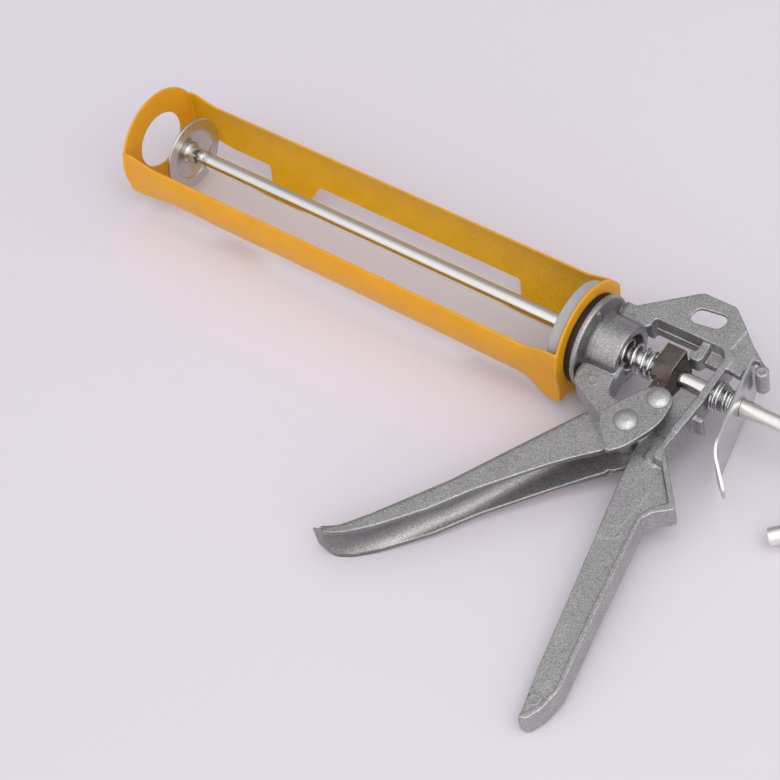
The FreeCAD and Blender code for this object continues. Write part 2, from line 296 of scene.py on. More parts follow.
class Nodes:
    # short words for a node tree
    def __init__(self, tree):
        self.tree = tree

    def add(self, kind, inputs=None, **settings):
        node = self.tree.nodes.new(kind)
        for key, value in settings.items():
            setattr(node, key, value)
        for key, value in (inputs or {}).items():
            feed(self.tree, node.inputs[key], value)
        return node

    def math(self, operation, a, b):
        return self.add("ShaderNodeMath", {0: a, 1: b}, operation=operation).outputs[0]

    def mix(self, factor, a, b):
        return self.add("ShaderNodeMix", {0: factor, 6: a, 7: b}, data_type="RGBA").outputs[2]

    def noise(self, place, scale, detail, roughness=0.5):
        inputs = {"Vector": place, "Scale": scale, "Detail": detail, "Roughness": roughness}
        return self.add("ShaderNodeTexNoise", inputs).outputs[0]

    def ramp(self, value, low, high, outLow=0.0, outHigh=1.0):
        return self.add("ShaderNodeMapRange", {0: value, 1: low, 2: high, 3: outLow, 4: outHigh}).outputs[0]


def newGroup(name, inputs, outputs):
    # inputs are (label, kind, default), outputs (label, kind)
    tree = bpy.data.node_groups.new(name, "ShaderNodeTree")
    for label, kind, default in inputs:
        socket = tree.interface.new_socket(label, in_out="INPUT", socket_type="NodeSocket" + kind)
        if default is not None:
            socket.default_value = default
    for label, kind in outputs:
        tree.interface.new_socket(label, in_out="OUTPUT", socket_type="NodeSocket" + kind)
    return tree, Nodes(tree), tree.nodes.new("NodeGroupInput"), tree.nodes.new("NodeGroupOutput")


def blastedGrainGroup():
    # fine sparkle of a shot-blasted skin, over broad cloudy patches
    tree, n, given, out = newGroup("blastedGrain", [("Place", "Vector", None), ("Grain Size", "Float", 0.5)],
                                   [("Speckle", "Float"), ("Cloud", "Float"), ("Height", "Float")])
    place = given.outputs["Place"]
    scale = n.math("DIVIDE", 1000.0, given.outputs["Grain Size"])  # cells per metre
    cells = n.add("ShaderNodeTexVoronoi", {"Vector": place, "Scale": scale}).outputs["Color"]
    cell = n.add("ShaderNodeSeparateColor", {0: cells}).outputs[0]
    noise = n.noise(place, n.math("MULTIPLY", scale, 0.6), 3.0, 0.7)
    fine = n.math("ADD", n.math("MULTIPLY", cell, 0.8), n.math("MULTIPLY", n.ramp(noise, 0.3, 0.7), 0.2))
    coarseScale = n.math("MULTIPLY", scale, 0.7)
    coarse = n.add("ShaderNodeTexVoronoi", {"Vector": place, "Scale": coarseScale}).outputs[0]
    cloud = n.noise(place, 90.0, 4.0)
    tree.links.new(n.ramp(fine, 0.2, 0.8), out.inputs["Speckle"])
    tree.links.new(n.ramp(cloud, 0.35, 0.65), out.inputs["Cloud"])
    tree.links.new(n.math("ADD", n.math("MULTIPLY", coarse, 0.6), fine), out.inputs["Height"])
    return tree


def edgeWearAndHighlightGroup():
    # bright where the surface turns sharply outwards, broken up by noise: edge wear with a painted edge
    # highlight
    tree, n, given, out = newGroup("edgeWearAndHighlight", [("Place", "Vector", None), ("Pointiness", "Float", 0.5),
                                                ("Start", "Float", 0.52), ("Full", "Float", 0.6)],
                                   [("Mask", "Float"), ("HollowShade", "Float")])
    place = given.outputs["Place"]
    broken = n.noise(place, 700.0, 3.0)
    edge = n.ramp(given.outputs["Pointiness"], given.outputs["Start"], given.outputs["Full"])
    tree.links.new(n.math("MULTIPLY", edge, n.ramp(broken, 0.25, 0.6, 0.45, 1.0)), out.inputs["Mask"])
    # painted shade where the surface turns inwards, in hollows and corners
    tree.links.new(n.ramp(given.outputs["Pointiness"], 0.49, 0.42), out.inputs["HollowShade"])
    return tree


def streaksGroup():
    # long faint scratches and stains drawn along X
    tree, n, given, out = newGroup("drawnStreaks", [("Place", "Vector", None), ("Length", "Float", 40.0)],
                                   [("Streak", "Float"), ("Stain", "Float")])
    place = given.outputs["Place"]
    shrink = n.math("DIVIDE", 1.0, given.outputs["Length"])
    stretch = n.add("ShaderNodeCombineXYZ", {0: shrink, 1: 1.0, 2: 1.0})
    drawn = n.add("ShaderNodeVectorMath", {0: place, 1: stretch.outputs[0]}, operation="MULTIPLY")
    streak = n.noise(drawn.outputs[0], 1600.0, 3.0)
    stain = n.noise(place, 260.0, 4.0)
    tree.links.new(n.ramp(streak, 0.3, 0.7), out.inputs["Streak"])
    tree.links.new(n.ramp(stain, 0.45, 0.62), out.inputs["Stain"])
    return tree


groups = {"grain": blastedGrainGroup(), "wearAndHighlight": edgeWearAndHighlightGroup(), "streaks": streaksGroup()}


def newMaterial(name):
    material = bpy.data.materials.new(name)
    material.use_nodes = True
    n = Nodes(material.node_tree)
    shader = material.node_tree.nodes["Principled BSDF"]
    place = n.add("ShaderNodeTexCoord").outputs["Object"]
    return material, n, shader, place


def useGroup(n, name, inputs):
    return n.add("ShaderNodeGroup", inputs, node_tree=groups[name]).outputs


def connect(n, shader, color, roughness, height=None, bump=0.2, depth=0.0001):
    n.tree.links.new(color, shader.inputs["Base Color"])
    n.tree.links.new(roughness, shader.inputs["Roughness"])
    if height is not None:
        node = n.add("ShaderNodeBump", {"Strength": bump, "Distance": depth, "Height": height})
        n.tree.links.new(node.outputs[0], shader.inputs["Normal"])


def alongRod(n, place):
    return n.add("ShaderNodeSeparateXYZ", {0: place}).outputs[0]


# edge mask: wear with a painted highlight on edges, painted shade in hollows
def wornAndHighlitEdges(n, place, start, full):
    pointy = n.add("ShaderNodeNewGeometry").outputs["Pointiness"]
    return useGroup(n, "wearAndHighlight", {"Place": place, "Pointiness": pointy, "Start": start, "Full": full})


# colours of painted shade: in hollows and corners, and where a piece's shade mask says
castingTones = {"hollow": (0.09, 0.09, 0.092, 1), "shade": (0.12, 0.112, 0.104, 1)}


def castingMaterial(name, dark, light, edge, wearAndHighlightShare, shade=None):
    # grainy light metal, brighter on edges with wear and a painted highlight, with painted shade in corners
    # and where the shade mask says
    material, n, shader, place = newMaterial(name)
    grain = useGroup(n, "grain", {"Place": place, "Grain Size": 0.3})
    wearAndHighlight = wornAndHighlitEdges(n, place, 0.52, 0.57)
    tone = n.math("ADD", n.math("MULTIPLY", grain["Speckle"], 0.85), n.math("MULTIPLY", grain["Cloud"], 0.15))
    color = n.mix(tone, dark, light)
    # brighter edges: wear and a painted highlight
    color = n.mix(n.math("MULTIPLY", wearAndHighlight["Mask"], wearAndHighlightShare), color, edge)
    # painted shade in hollows and corners
    color = n.mix(n.math("MULTIPLY", wearAndHighlight["HollowShade"], 0.45), color, castingTones["hollow"])
    # painted shade where the piece's shade mask says
    if shade:
        color = n.mix(shade(n, place), color, castingTones["shade"])
    rough = n.math("SUBTRACT", 0.38, n.math("MULTIPLY", wearAndHighlight["Mask"], 0.06))
    shader.inputs["Metallic"].default_value = 0.9
    connect(n, shader, color, rough, grain["Height"], 0.35, 0.00009)
    return material


def paintedShadeBehindRim(n, place):
    # painted shade: a dark band in the corner between the flange's rim and the hub
    x = alongRod(n, place)
    band = n.math("MULTIPLY", n.ramp(x, 0.2608, 0.2614), n.ramp(x, 0.2652, 0.2632))
    return n.math("MULTIPLY", band, 0.62)


def paintedShadeInChannel(n, place):
    # painted shade inside the channel, strongest where it faces the handle
    normal = n.add("ShaderNodeNewGeometry").outputs["True Normal"]
    facing = n.add("ShaderNodeVectorMath", {0: normal, 1: (0.83, -0.56, 0.0)}, operation="DOT_PRODUCT")
    return n.ramp(facing.outputs["Value"], 0.15, 0.9, 0.0, 0.55)


# worn is the paler edge colour: paint worn through, with a painted edge highlight
paint = {"outside": ((0.77, 0.345, 0.012, 1), (0.81, 0.37, 0.016, 1)),
         "inside": ((0.70, 0.37, 0.007, 1), (0.76, 0.405, 0.009, 1)), "specks": (0.42, 0.26, 0.02, 1),
         "worn": (0.86, 0.5, 0.16, 1), "specksFrom": 0.12, "specksFull": 0.24, "specksShare": 0.5,
         "wornAndHighlightShare": 0.35, "shine": 0.3}


def paintMaterial():
    # orange-yellow outside; thinner, greener and specked inside
    material, n, shader, place = newMaterial("oldYellowPaint")
    normal = n.add("ShaderNodeTexCoord").outputs["Normal"]
    flat = n.add("ShaderNodeVectorMath", {0: place, 1: (0, 1, 1)}, operation="MULTIPLY").outputs[0]
    outward = n.add("ShaderNodeVectorMath", {0: flat}, operation="NORMALIZE").outputs[0]
    facing = n.add("ShaderNodeVectorMath", {0: outward, 1: normal}, operation="DOT_PRODUCT").outputs["Value"]
    inner = n.ramp(facing, -0.15, -0.6)
    grain = useGroup(n, "grain", {"Place": place, "Grain Size": 0.6})
    wearAndHighlight = wornAndHighlitEdges(n, place, 0.53, 0.6)
    outside = n.mix(grain["Cloud"], *paint["outside"])
    inside = n.mix(grain["Cloud"], *paint["inside"])
    rear = n.ramp(alongRod(n, place), paint["specksFrom"], paint["specksFull"])
    specks = n.math("MULTIPLY", rear, n.ramp(grain["Speckle"], 0.35, 0.75))
    inside = n.mix(n.math("MULTIPLY", specks, paint["specksShare"]), inside, paint["specks"])
    color = n.mix(inner, outside, inside)
    # paler edges: worn paint and a painted highlight
    color = n.mix(n.math("MULTIPLY", wearAndHighlight["Mask"], paint["wornAndHighlightShare"]), color, paint["worn"])
    shader.inputs["Specular IOR Level"].default_value = paint["shine"]
    rough = n.ramp(grain["Cloud"], 0, 1, 0.34, 0.42)
    connect(n, shader, color, rough, grain["Height"], 0.12, 0.00005)
    return material


def platedMaterial(name, color, roughness, streak, stainColor, stainShare, length):
    # bright or satin plating with faint streaks and stains
    material, n, shader, place = newMaterial(name)
    marks = useGroup(n, "streaks", {"Place": place, "Length": length})
    dull = [c * 0.82 for c in color[:3]] + [1]
    base = n.mix(marks["Streak"], dull, color)
    base = n.mix(n.math("MULTIPLY", marks["Stain"], stainShare), base, stainColor)
    rough = n.math("ADD", n.math("MULTIPLY", marks["Streak"], streak), roughness)
    shader.inputs["Metallic"].default_value = 1.0
    connect(n, shader, base, rough, marks["Streak"], 0.08, 0.00002)
    return material


rodPlating = {"bright": ((0.82, 0.81, 0.78, 1), (0.93, 0.92, 0.90, 1)), "mottle": (0.09, 0.085, 0.07, 1),
              "mottleFull": 0.028, "mottleEnd": 0.034, "worn": (0.90, 0.90, 0.83, 1), "wornFrom": 0.326,
              "wornFull": 0.332}


def rodMaterial():
    # bright plating, mottled dark just behind the piston, worn paler behind the body
    r = rodPlating
    material, n, shader, place = newMaterial("pullRodPlating")
    marks = useGroup(n, "streaks", {"Place": place, "Length": 60.0})
    x = alongRod(n, place)
    front = n.math("MULTIPLY", n.ramp(x, r["mottleEnd"], r["mottleFull"]), n.ramp(marks["Stain"], 0.2, 0.7))
    base = n.mix(marks["Streak"], *r["bright"])
    base = n.mix(n.math("MULTIPLY", front, 0.85), base, r["mottle"])
    rear = n.ramp(x, r["wornFrom"], r["wornFull"])
    worn = n.mix(n.ramp(marks["Stain"], 0, 1, 0.15, 0.8), base, r["worn"])
    base = n.mix(rear, base, worn)
    rough = n.math("ADD", n.ramp(marks["Streak"], 0, 1, 0.16, 0.26), n.math("MULTIPLY", rear, 0.06))
    shader.inputs["Metallic"].default_value = 1.0
    connect(n, shader, base, rough, marks["Streak"], 0.06, 0.00002)
    return material


def heatedSteelMaterial(name, dark, light, edge):
    # browned steel, cloudy, its edges brighter from rubbing and a painted highlight
    material, n, shader, place = newMaterial(name)
    grain = useGroup(n, "grain", {"Place": place, "Grain Size": 1.1})
    wearAndHighlight = wornAndHighlitEdges(n, place, 0.56, 0.66)
    color = n.mix(grain["Cloud"], dark, light)
    color = n.mix(n.math("MULTIPLY", grain["Speckle"], 0.3), color, dark)
    color = n.mix(n.math("MULTIPLY", wearAndHighlight["Mask"], 0.75), color, edge)
    rough = n.ramp(grain["Speckle"], 0, 1, 0.3, 0.44)
    shader.inputs["Metallic"].default_value = 0.75
    connect(n, shader, color, rough, grain["Height"], 0.15, 0.00008)
    return material


def mouldedMaterial(name, color, roughness, bump):
    # smooth plastic or rubber, a little cloudy
    material, n, shader, place = newMaterial(name)
    grain = useGroup(n, "grain", {"Place": place, "Grain Size": 0.8})
    darker = [c * 0.9 for c in color[:3]] + [1]
    rough = n.ramp(grain["Speckle"], 0, 1, roughness - 0.04, roughness + 0.05)
    connect(n, shader, n.mix(grain["Cloud"], darker, color), rough, grain["Height"], bump, 0.00005)
    return material


finishes = {
    # the body casting gets painted shade behind the flange's rim
    "casting": castingMaterial("blastedCasting", (0.25, 0.247, 0.246, 1), (0.59, 0.586, 0.584, 1),
                               (0.66, 0.66, 0.65, 1), 0.42, paintedShadeBehindRim),
    # the trigger casting gets painted shade inside its channel
    "lever": castingMaterial("blastedLever", (0.24, 0.237, 0.234, 1), (0.58, 0.576, 0.57, 1),
                             (0.66, 0.66, 0.64, 1), 0.36, paintedShadeInChannel),
    "rivet": castingMaterial("tumbledRivet", (0.40, 0.40, 0.395, 1), (0.64, 0.64, 0.635, 1),
                             (0.66, 0.66, 0.65, 1), 0.1),
    "paint": paintMaterial(),
    "rod": rodMaterial(),
    "zinc": platedMaterial("pressedZinc", (0.66, 0.655, 0.64, 1), 0.29, 0.05, (0.62, 0.60, 0.55, 1), 0.15,
                           3.0),
    "wire": platedMaterial("springWire", (0.80, 0.81, 0.80, 1), 0.13, 0.1, (0.25, 0.24, 0.22, 1), 0.25, 1.0),
    "satin": platedMaterial("satinPlate", (0.66, 0.66, 0.67, 1), 0.28, 0.1, (0.54, 0.54, 0.54, 1), 0.4, 1.0),
    "brown": heatedSteelMaterial("brownedSteel", (0.085, 0.066, 0.058, 1), (0.175, 0.14, 0.125, 1),
                                 (0.50, 0.46, 0.42, 1)),
    "dark": heatedSteelMaterial("darkenedSteel", (0.03, 0.024, 0.021, 1), (0.085, 0.068, 0.06, 1),
                                (0.30, 0.28, 0.26, 1)),
    "disc": mouldedMaterial("greyDisc", (0.43, 0.435, 0.44, 1), 0.38, 0.05),
    "washer": mouldedMaterial("blackWasher", (0.005, 0.005, 0.006, 1), 0.55, 0.1),
}
print("materials ready")

# cradle: two rails between end plates, pressed from one sheet

cradle = {"radius": 27.3, "wall": 1.2, "length": 254.0, "turn": -6.8, "flat": 25.9, "flatTop": 11.0,
          "flatLow": -12.6, "blendFrom": 5.0, "blendTo": 25.0, "top": 8.5, "endRise": 3.0, "relief": -13.2,
          "tab": -19.6, "port": 14.4, "ringBore": 16.3, "overlap": 0.1, "cheekDepth": 6.0, "cutReach": 32.0,
          "voxel": 0.42, "smooth": 3}


def flattenEnds(piece):
    # the rails are folded flat where they meet the end plates
    for vertex in piece.data.vertices:
        x, y, z = vertex.co
        fromEnd = min(x, cradle["length"] - x)
        part = (cradle["blendTo"] - fromEnd) / (cradle["blendTo"] - cradle["blendFrom"])
        part = max(0.0, min(1.0, part))
        part = part * part * (3 - 2 * part)
        side = 1 if y > 0 else -1
        inset = cradle["radius"] - (y * y + z * z) ** 0.5
        flat = side * (cradle["flat"] - inset)
        vertex.co.y = y + (flat - y) * part
    piece.data.update()


def makeRails():
    c = cradle
    clearSelection()
    bpy.ops.mesh.primitive_cylinder_add(vertices=240, radius=c["radius"], depth=c["length"] + 1.0,
                                        end_fill_type="NOTHING", location=(c["length"] / 2, 0, 0),
                                        rotation=(0, pi / 2, 0))
    shell = bpy.context.object
    placeForGood()
    nearFront = [(step * 2, 0, 0) for step in range(1, 15)]
    nearRear = [(c["length"] - x, 0, 0) for x, y, z in nearFront]
    slicedAt(shell, nearFront + nearRear, (1, 0, 0))
    finishWith(shell, "SOLIDIFY", thickness=c["wall"], offset=-1)
    # cut away above the rails' top edge and below their lower edge, with the tabs left standing
    x1 = c["length"] + 3
    top, rise = c["top"], c["endRise"]
    above = [(-3, 40, 0), (-3, top + rise, 0), (5, top + rise, 6), (17, top, 14), (c["length"] - 17, top, 14),
             (c["length"] - 5, top + rise, 6), (x1, top + rise, 0), (x1, 40, 0)]
    low, tab = c["relief"], c["tab"]
    below = [(-3, -40, 0), (-3, low, 0), (49.0, low, 2.5), (53.4, tab, 2.5), (77.4, tab, 2.2),
             (80.6, low, 2.6), (200.2, low, 3), (203.8, tab, 3), (x1, tab, 0), (x1, -40, 0)]
    reach = c["cutReach"]
    cutAway(shell, [slabAcross(name, outline, -reach, reach, "xzy", 8)
                    for name, outline in (("above", above), ("below", below))])
    flattenEnds(shell)
    return shell


def endPlate(name, x0, x1, bore, drop):
    # round plate whose sides are cut flat to meet the rails
    c = cradle
    disc = roundBar(name, (x0, 0, 0), (x1, 0, 0), c["radius"], 240)
    sides = [block("side", (x0 - 1, s * c["flat"], -40), (x1 + 1, s * (c["flat"] + 9), 40)) for s in (1, -1)]
    hole = roundBar("hole", (x0 - 1, 0, 0), (x1 + 1, 0, 0), bore, 160)
    cutAway(disc, [hole] + sides)
    cheeks = []
    for side in (1, -1):
        low, high = sorted((side * (c["flat"] - c["cheekDepth"]), side * c["flat"]))
        cheeks.append(block("cheek", (x0, low, drop), (x1, high, c["flatTop"])))
    return [disc] + cheeks


def makeCradle():
    c = cradle
    pieces = [makeRails()]
    pieces += endPlate("front", -c["wall"], c["overlap"], c["port"], c["flatLow"])
    pieces += endPlate("ring", c["length"] - c["overlap"], c["length"] + c["wall"], c["ringBore"], c["tab"])
    shape = joined(pieces)
    castTogether(shape, c["voxel"], c["smooth"])
    pick(shape)
    shape.rotation_euler.x = radians(c["turn"])
    placeForGood()
    return settle(shape, "cradleTrough", "cradle", finishes["paint"], ["cradle"], angle=60)


makeCradle()

# disc and washer that hold the cradle on the body

disc = {"x0": 247.4, "x1": 253.0, "radius": 24.4, "bore": 12.05, "rounding": 0.9}
washer = {"x0": 255.3, "x1": 258.4, "radius": 21.6, "bore": 16.3}


def makeRings():
    # the disc has a shallow groove near the rim of its front face
    d, w = disc, washer
    ring = turned("ring", [(d["x0"], d["bore"], 0), (d["x0"], 20.6, 0.3), (d["x0"] + 0.7, 21.2, 0.4),
                           (d["x0"], 21.8, 0.4), (d["x0"], d["radius"], d["rounding"]),
                           (d["x1"], d["radius"], d["rounding"]), (d["x1"], d["bore"], 0)], 160)
    settle(ring, "retainingDisc", "frame", finishes["disc"], ["retaining_disc"])
    band = turned("band", [(w["x0"], w["bore"], 0), (w["x0"], w["radius"], 0.5), (w["x1"], w["radius"], 0.5),
                           (w["x1"], w["bore"], 0)], 160)
    settle(band, "frictionWasher", "frame", finishes["washer"], ["friction_washer"])


makeRings()

# body casting: head with flange and hub, window plates, handle and small lugs

casting = {"half": 6.5, "plateLow": 4.7, "armLow": 2.7, "armTop": 6.05, "windowTop": 19.1, "windowLow": -25.9,
           "wallX": 316.3, "wall": 3.5, "webTop": 0.0, "saddle": 3.4, "bore": 4.06, "neck": 11.95,
           "pocket": 10.4, "pivot": (297.0, -34.5), "pivotBore": 3.06, "stepRise": 0.14, "crustRise": 0.5,
           "insertRise": 0.22, "markRise": 0.16, "markWidth": 0.5, "voxel": 0.4, "smooth": 2}


def makeHead():
    # neck, flange, hub and the pocket that the drive spring stands in
    bore, neck, pocket = casting["bore"], casting["neck"], casting["pocket"]
    return turned("head", [(247.5, bore, 0), (247.5, neck, 0.4), (253.7, neck, 0), (253.7, 16, 0),
                           (258.6, 16, 0), (258.4, 22.2, 0.5), (260.9, 22.2, 0.6), (261.4, 21.2, 0.3),
                           (262.2, 15.6, 1.2), (263.6, 14.5, 0.8), (277.1, 14.2, 0.5), (277.1, pocket, 0.5),
                           (265, pocket, 1), (265, bore, 0)], 128)


def makePlates():
    # plates round the window that the drive jaw works in, and the arm for the release plate
    c = casting
    low, high = -c["half"], c["half"]
    wall, back = c["wallX"], c["wallX"] + c["wall"]
    top, base = c["windowTop"], c["windowLow"]
    upper = slab("upper", [(262.5, 8, 0), (262.5, 20.9, 0), (267.5, 21.1, 2.5), (290.3, 41.0, 4),
                           (307.2, 41.0, 5), (317.4, 32.4, 0), (316.4, 20.3, 0), (317, 15, 0), (279, 15, 0),
                           (272, 8, 0)], c["plateLow"], high)
    rim = slab("rim", [(273.6, top - 3, 0), (273.6, top + 3.2, 0), (314, top + 3.2, 5), (back, 17.2, 4.5),
                       (back, -9, 0), (318.1, -37.6, 0), (320.2, -43.2, 0), (316.4, -43.2, 1.6),
                       (315.1, -41.8, 0.8), (wall, -8, 0), (wall - 4, -8, 0), (wall - 4, top - 3, 0)],
               low, high)
    lower = slab("lower", [(262.8, -16.3, 0), (262.8, -21.5, 0), (264.3, -26.0, 1.5), (283.0, -35.2, 4),
                           (289.0, -42.0, 6), (297.5, -42.8, 4), (302.2, -39.4, 4), (305.4, -33, 3),
                           (305.8, base + 6, 0), (288.0, base + 6, 0), (284.0, -16.3, 0)], low, high)
    saddle = slab("saddle", [(262.8, -8, 0), (262.8, -17, 0), (284.0, -17, 0), (284.0, -8, 0)],
                  low, c["saddle"])
    window = slab("window", [(278.6, top, 1.4), (312.9, top, 4.0), (wall, 15.0, 4.0), (wall, -8, 0),
                             (315.6, base, 0), (281.0, base, 6), (279.4, -16.3, 0), (278.6, -8, 0)],
                  -cutterReach, cutterReach)
    slot = slab("slot", [(291.0, 24.5, 4.2), (292.1, 33.1, 4.2), (307.8, 35.3, 4.2), (306.7, 26.7, 4.2)],
                -cutterReach, cutterReach, 10)
    for plate in (upper, rim, lower, saddle):
        cutAway(plate, [window], keep=True)
    bpy.data.objects.remove(window)
    cutAway(upper, [slot])
    arm = slab("arm", [(318, 10.7, 0), (327.1, 9.7, 0), (326.6, 20.0, 1), (331.0, 20.3, 0),
                       (331.3, 14.7, 2.4), (337.1, 13.3, 2.4), (335.5, 18.6, 3), (324.6, 26.1, 0),
                       (317.3, 32.5, 0), (315.9, 19.6, 0)], c["armLow"], c["armTop"])
    return [upper, rim, lower, saddle, arm]


def makeHandle():
    # thin web and grip, with a deep rib along their rear edge that runs up into the thumb spur
    c = casting
    low, high = -c["half"], c["half"]
    wall = c["wallX"]
    web = slab("web", [(307.1, -7.0, 1), (wall + 1, -6.4, 0), (wall + 1, -44.5, 0), (304.1, -44.5, 0),
                       (304.1, -28, 0), (307.1, -28, 0)], low, c["webTop"])
    grip = slab("grip", [(304.1, -43, 0), (320.0, -42.4, 0), (336.4, -60.2, 0), (329.4, -65.6, 0),
                         (326.7, -71.0, 3), (334.2, -118, 0), (340.8, -155, 10), (338.6, -166.2, 8),
                         (336.0, -172.5, 3), (331.7, -172.5, 2), (330.4, -166.2, 14), (325.8, -147.6, 0)],
                low, c["webTop"], 8)
    rib = slab("rib", [(318.1, -37.2, 0), (337.9, -60.6, 1.8), (330.4, -66.8, 3), (327.7, -71.5, 3.5),
                       (334.8, -115, 0), (341.6, -154, 18), (340.0, -165.4, 12), (336.6, -172.7, 4),
                       (332.6, -172.7, 2.5), (334.4, -170.2, 1.0), (337.4, -165.0, 9), (339.6, -155.4, 14),
                       (332.2, -115, 0), (325.4, -71.0, 3.5), (328.6, -64.2, 2), (333.5, -59.4, 0.8),
                       (319.6, -42.6, 1), (316.4, -41.4, 0)], low, high, 8)
    step = slab("step", [(304.3, -42, 0), (314, -42, 0), (321.5, -56, 6), (319.2, -84, 2), (312.6, -84, 2),
                         (304.8, -46, 0)], low, c["webTop"] + c["stepRise"])
    crust = slab("crust", [(307.2, -30, 0), (308.2, -35.5, 2), (310.6, -37.5, 1.5), (309.4, -40.2, 1.5),
                           (311.5, -43.2, 2), (316.8, -44.2, 0), (316.8, -30, 0)],
                 low, c["webTop"] + c["crustRise"])
    return [web, grip, rib, step, crust]


def ringMark(x, y, z, radius):
    # raised circle left by an ejector pin
    c = casting
    outer = roundBar("mark", (x, y, z - 0.4), (x, y, z + c["markRise"]), radius, 40)
    return cutAway(outer, [roundBar("inner", (x, y, z - 1), (x, y, z + 1), radius - c["markWidth"], 40)])


def makeLugs():
    # small raised features, from the hook in the window to the marks that pins and inserts leave
    c = casting
    low, top, wall = -c["half"], c["windowTop"], c["wallX"]
    hook = slab("hook", [(302.6, top + 2, 0), (302.6, 14.0, 1.0), (300.3, 12.4, 1.1), (301.7, 8.9, 1.6),
                         (306.2, 9.0, 1.8), (307.3, 11.4, 1.2), (306.6, top + 2, 0)], -4.0, 4.5)
    ledge = block("ledge", (305.0, 12.2, -4.0), (wall + 1, top + 1, 0.0))
    stop = slab("stop", [(wall + 1.5, -15.2, 0), (324.4, -15.2, 1.1), (324.4, -17.9, 1.1),
                         (wall + 1.5, -17.9, 0)], low, 4.6)
    boss = roundBar("boss", (334.0, 16.3, low), (334.0, 16.3, c["half"] + 0.4), 3.1, 64)
    ridge = slab("ridge", [(279, top - 0.9, 0), (312.4, top - 0.9, 3.4), (wall - 0.9, 14.6, 3),
                           (wall - 0.9, 5, 0), (wall + 1, 5, 0), (wall + 1, top + 1, 0), (279, top + 1, 0)],
                 low + 1.2, -0.4)
    insert = slab("insert", [(316.0, -8.4, 0), (320.2, -8.4, 0), (318.9, -28.0, 0), (314.9, -28.0, 0)],
                  0, c["half"] + c["insertRise"])
    marks = [ringMark(272.2, -22.7, 6.5, 2.5), ringMark(334.0, 16.3, 6.9, 2.1),
             ringMark(318.2, -79.5, 0.0, 3.4), ringMark(332.6, -161.0, 0.0, 2.4)]
    gate = slab("gate", [(260.2, 0.4, 0.3), (260.2, 2.2, 0.3), (262.9, 2.2, 0.6), (262.9, 0.4, 0.6)],
                15.4, 20.9)
    return [hook, ledge, stop, boss, ridge, gate, insert] + marks


def makeBody():
    c = casting
    plates = makePlates()
    tunnel = roundBar("tunnel", (300, 0, 0), (330, 0, 0), c["bore"], 64)
    cutAway(plates[1], [tunnel])
    cutAway(plates[2], [holeAcross(c["pivot"], c["pivotBore"])])
    shape = joined([makeHead()] + plates + makeHandle() + makeLugs())
    castTogether(shape, c["voxel"], c["smooth"])
    return settle(shape, "bodyCasting", "frame", finishes["casting"], ["body"], angle=60)


makeBody()

# trigger casting: a channel whose cheeks straddle the body, and its two rivets

trigger = {"head": 9.3, "grip": 11.0, "inside": 6.8, "gripInside": 8.8, "pivot": casting["pivot"],
           "drive": (303.4, -18.1), "pin": 3.0, "backRound": 2.6, "floorRound": 7.4, "voxel": 0.38,
           "smooth": 2}
alongArm = Vector((0.6, 0.8, 0))


def narrowed(piece, full, spots):
    # sides brought in to the half widths given along the arm
    for vertex in piece.data.vertices:
        place = vertex.co.dot(alongArm)
        wide = spots[-1][1]
        for (u0, z0), (u1, z1) in zip(spots, spots[1:]):
            if place <= u1:
                wide = z0 + (z1 - z0) * max(0.0, min(1.0, (place - u0) / (u1 - u0)))
                break
        vertex.co.z *= wide / full
    piece.data.update()
    return piece


def isAbove(point, x, y, slope):
    return point.y > y + slope * (point.x - x)


def outerSide(point):
    # the back of the channel, away from the handle, up to where the tip gets thin
    if point.x > 247:
        return isAbove(point, 247.5, -100.5, 1.66)
    return point.y > -143.0 and isAbove(point, 226.6, -133.6, 1.5)


def innerSide(point):
    # the floor of the channel, between the head and the open end at the tip
    if point.x >= 284 or point.y <= -150:
        return False
    if point.x > 248:
        return isAbove(point, 249.8, -103.0, 1.7)
    return isAbove(point, 229.0, -135.0, 1.4)


def cheekEdges(side):
    # test for the edges that run along one cheek, on the given side of the channel
    return lambda a, b: abs(a.z - b.z) < 0.01 and side(a) and side(b)


